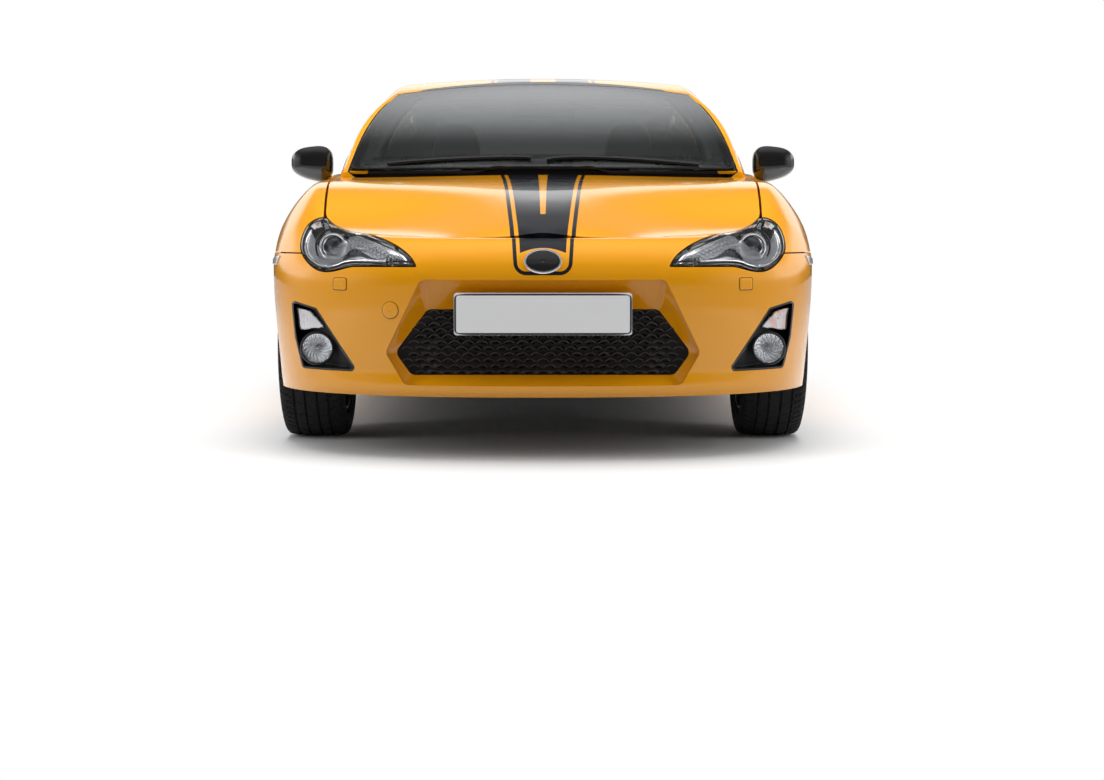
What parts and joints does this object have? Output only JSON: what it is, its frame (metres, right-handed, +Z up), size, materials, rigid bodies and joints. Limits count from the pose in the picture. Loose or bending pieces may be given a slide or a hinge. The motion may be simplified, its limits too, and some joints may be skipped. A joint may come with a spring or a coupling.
{
  "type": "coupe car",
  "caption": "Two-door coupe car with low nose, wide lower grille, swept lamps, black stripes along bonnet and roof, hinged doors, bonnet and boot lid, steered front wheels.",
  "frame": {"origin": "on the floor under the middle of the car's overall box", "axes": "+X towards the car's left side, -Y out of the nose, +Z up"},
  "size_m": [2.0174, 4.248, 1.297],
  "materials": {
    "paint": "gloss",
    "black_paint": "gloss",
    "black_plastic": "matte",
    "glass": "clear",
    "lens": "clear",
    "reflector": "bright",
    "red_lens": "gloss",
    "tyre": "matte",
    "rim": "satin",
    "steel": "satin",
    "iron": "matte",
    "fabric": "matte",
    "dark_trim": "matte",
    "plate": "satin",
    "mirror": "bright"
  },
  "bodies": {
    "car_body": {"body_sides": "paint", "boot_hinge_brackets": "steel", "cabin_mirror": "mirror", "cowl_panel": "black_plastic", "dashboard": "dark_trim", "door_posts": "steel", "engine_block": "iron", "exhaust": "steel", "firewall": "dark_trim", "floor_pan": "dark_trim", "fog_bezels": "black_plastic", "fog_lamps": "lens", "front_bumper": "paint", "front_fenders": "paint", "front_frame": "steel", "front_seats": "fabric", "front_suspension": "steel", "grille": "black_plastic", "headlamp_lenses": "lens", "headlamps": "reflector", "mouth_surround": "paint", "number_plates": "plate", "parcel_shelf": "dark_trim", "quarter_windows": "glass", "radiator": "black_plastic", "rear_bumper": "paint", "rear_seat": "fabric", "rear_suspension": "steel", "rear_window": "glass", "roof_panel": "paint", "sills": "paint", "steering_column": "black_plastic", "tail_lamps": "red_lens", "wheel_housings": "black_plastic", "windscreen": "glass", "wipers": "black_plastic"},
    "door_left": {"door_left": "paint", "door_glass_left": "glass", "door_mirror_left": "black_paint"},
    "door_right": {"door_right": "paint", "door_glass_right": "glass", "door_mirror_right": "black_paint"},
    "bonnet": {"bonnet": "paint"},
    "boot_lid": {"boot_lid": "paint"},
    "knuckle_left": {"knuckle_left": "iron"},
    "knuckle_right": {"knuckle_right": "iron"},
    "steering_wheel": {"steering_wheel": "black_plastic"},
    "wheel_front_left": {"tyre_front_left": "tyre", "rim_front_left": "rim"},
    "wheel_front_right": {"tyre_front_right": "tyre", "rim_front_right": "rim"},
    "wheel_rear_left": {"tyre_rear_left": "tyre", "rim_rear_left": "rim"},
    "wheel_rear_right": {"tyre_rear_right": "tyre", "rim_rear_right": "rim"}
  },
  "joints": [
    {"name": "door_left_swing", "type": "hinge", "parent": "car_body", "child": "door_left", "pos_m": [0.841, -0.53, 0.4725], "axis": [0, 0, 1], "range_deg": [-65, 0]},
    {"name": "door_right_swing", "type": "hinge", "parent": "car_body", "child": "door_right", "pos_m": [-0.841, -0.53, 0.4725], "axis": [0, 0, 1], "range_deg": [0, 65]},
    {"name": "bonnet_lift", "type": "hinge", "parent": "car_body", "child": "bonnet", "pos_m": [0, -0.745, 0.86], "axis": [1, 0, 0], "range_deg": [-50, 0]},
    {"name": "boot_lift", "type": "hinge", "parent": "car_body", "child": "boot_lid", "pos_m": [0, 1.41, 0.92], "axis": [1, 0, 0], "range_deg": [0, 65]},
    {"name": "steer_left", "type": "hinge", "parent": "car_body", "child": "knuckle_left", "pos_m": [0.69, -1.275, 0.312], "axis": [0, 0, 1], "range_deg": [-35, 35]},
    {"name": "steer_right", "type": "hinge", "parent": "car_body", "child": "knuckle_right", "pos_m": [-0.69, -1.275, 0.312], "axis": [0, 0, 1], "range_deg": [-35, 35]},
    {"name": "steering_turn", "type": "hinge", "parent": "car_body", "child": "steering_wheel", "pos_m": [0.365, -0.215, 0.8], "axis": [0, -0.9272, -0.3746], "range_deg": [-540, 540]},
    {"name": "wheel_front_left_roll", "type": "hinge", "parent": "knuckle_left", "child": "wheel_front_left", "pos_m": [0.76, -1.275, 0.312], "axis": [1, 0, 0], "continuous": true},
    {"name": "wheel_front_right_roll", "type": "hinge", "parent": "knuckle_right", "child": "wheel_front_right", "pos_m": [-0.76, -1.275, 0.312], "axis": [1, 0, 0], "continuous": true},
    {"name": "wheel_rear_left_roll", "type": "hinge", "parent": "car_body", "child": "wheel_rear_left", "pos_m": [0.77, 1.295, 0.312], "axis": [1, 0, 0], "continuous": true},
    {"name": "wheel_rear_right_roll", "type": "hinge", "parent": "car_body", "child": "wheel_rear_right", "pos_m": [-0.77, 1.295, 0.312], "axis": [1, 0, 0], "continuous": true}
  ],
  "couplings": [
    {"joint": "steer_right", "follows": "steer_left", "ratio": 1}
  ]
}
